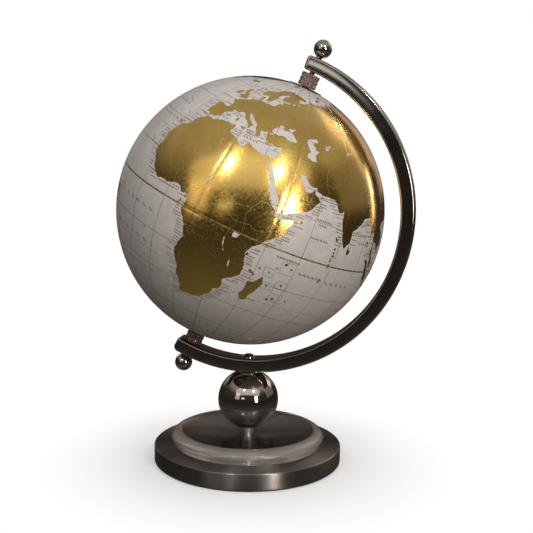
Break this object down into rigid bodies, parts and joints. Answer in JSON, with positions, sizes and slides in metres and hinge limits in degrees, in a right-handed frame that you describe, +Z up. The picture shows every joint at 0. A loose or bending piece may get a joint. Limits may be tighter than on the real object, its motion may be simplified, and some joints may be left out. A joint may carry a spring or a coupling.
{
  "type": "desk globe",
  "caption": "Desk globe: a map-covered ball turns on a tilted axle in a half-round arm over a ball stem, a clear disc and a weighted round foot.",
  "frame": {"origin": "centre of the underside of the foot's felt pad, on the table", "axes": "+Z up; the arm lies in the XZ plane and bows out to +X; the north end of the axle leans towards +X; -Y is the front, where Africa shows at rest"},
  "size_m": [0.226, 0.203, 0.3241],
  "materials": {
    "felt": "matt felt",
    "foot_nickel": "satin black nickel plate, polished chamfer",
    "cast_iron": "as cast",
    "zinc_steel": "zinc plated",
    "clear_acrylic": "polished clear acrylic",
    "bright_nickel": "bright nickel plate",
    "mirror_nickel": "mirror black nickel plate",
    "arm_nickel": "cast alloy, polished black nickel plate",
    "steel_rod": "drawn steel",
    "violet_plastic": "violet-tinted clear moulding",
    "shell_board": "moulded half shell",
    "hoop_board": "pressed board",
    "gold_tape": "gold-brown printed tape",
    "map_print": "satin print with gold foil land",
    "bush_plastic": "moulded"
  },
  "bodies": {
    "stand": {"felt_pad": "felt", "base_shell": "foot_nickel", "base_weight": "cast_iron", "base_washer": "zinc_steel", "base_screw": "zinc_steel", "clear_disc": "clear_acrylic", "neck_collar": "bright_nickel", "stand_ball": "mirror_nickel", "ball_core": "zinc_steel", "arm_saddle": "bright_nickel", "arm_screw": "bright_nickel", "meridian_arm": "arm_nickel", "axle_rod": "steel_rod", "top_finial": "mirror_nickel", "bottom_finial": "mirror_nickel"},
    "globe": {"north_hemisphere": "shell_board", "south_hemisphere": "shell_board", "equator_hoop": "hoop_board", "equator_tape": "gold_tape", "north_calotte": "map_print", "south_calotte": "map_print", "north_pole_cap": "bright_nickel", "south_pole_cap": "bright_nickel", "north_bush": "bush_plastic", "south_bush": "bush_plastic", "north_gore_01": "map_print", "north_gore_02": "map_print", "north_gore_03": "map_print", "north_gore_04": "map_print", "north_gore_05": "map_print", "north_gore_06": "map_print", "north_gore_07": "map_print", "north_gore_08": "map_print", "north_gore_09": "map_print", "north_gore_10": "map_print", "north_gore_11": "map_print", "north_gore_12": "map_print", "south_gore_01": "map_print", "south_gore_02": "map_print", "south_gore_03": "map_print", "south_gore_04": "map_print", "south_gore_05": "map_print", "south_gore_06": "map_print", "south_gore_07": "map_print", "south_gore_08": "map_print", "south_gore_09": "map_print", "south_gore_10": "map_print", "south_gore_11": "map_print", "south_gore_12": "map_print"},
    "top_sleeve": {"top_sleeve": "violet_plastic"},
    "bottom_sleeve": {"bottom_sleeve": "violet_plastic"}
  },
  "joints": [
    {"name": "globe_spin", "type": "hinge", "parent": "stand", "child": "globe", "pos_m": [0, 0, 0.1963], "axis": [0.3987, 0, 0.9171], "continuous": true},
    {"name": "top_sleeve_spin", "type": "hinge", "parent": "stand", "child": "top_sleeve", "pos_m": [0.04267, 0, 0.29442], "axis": [0.3987, 0, 0.9171], "continuous": true},
    {"name": "bottom_sleeve_spin", "type": "hinge", "parent": "stand", "child": "bottom_sleeve", "pos_m": [-0.04267, 0, 0.09817], "axis": [0.3987, 0, 0.9171], "continuous": true}
  ]
}
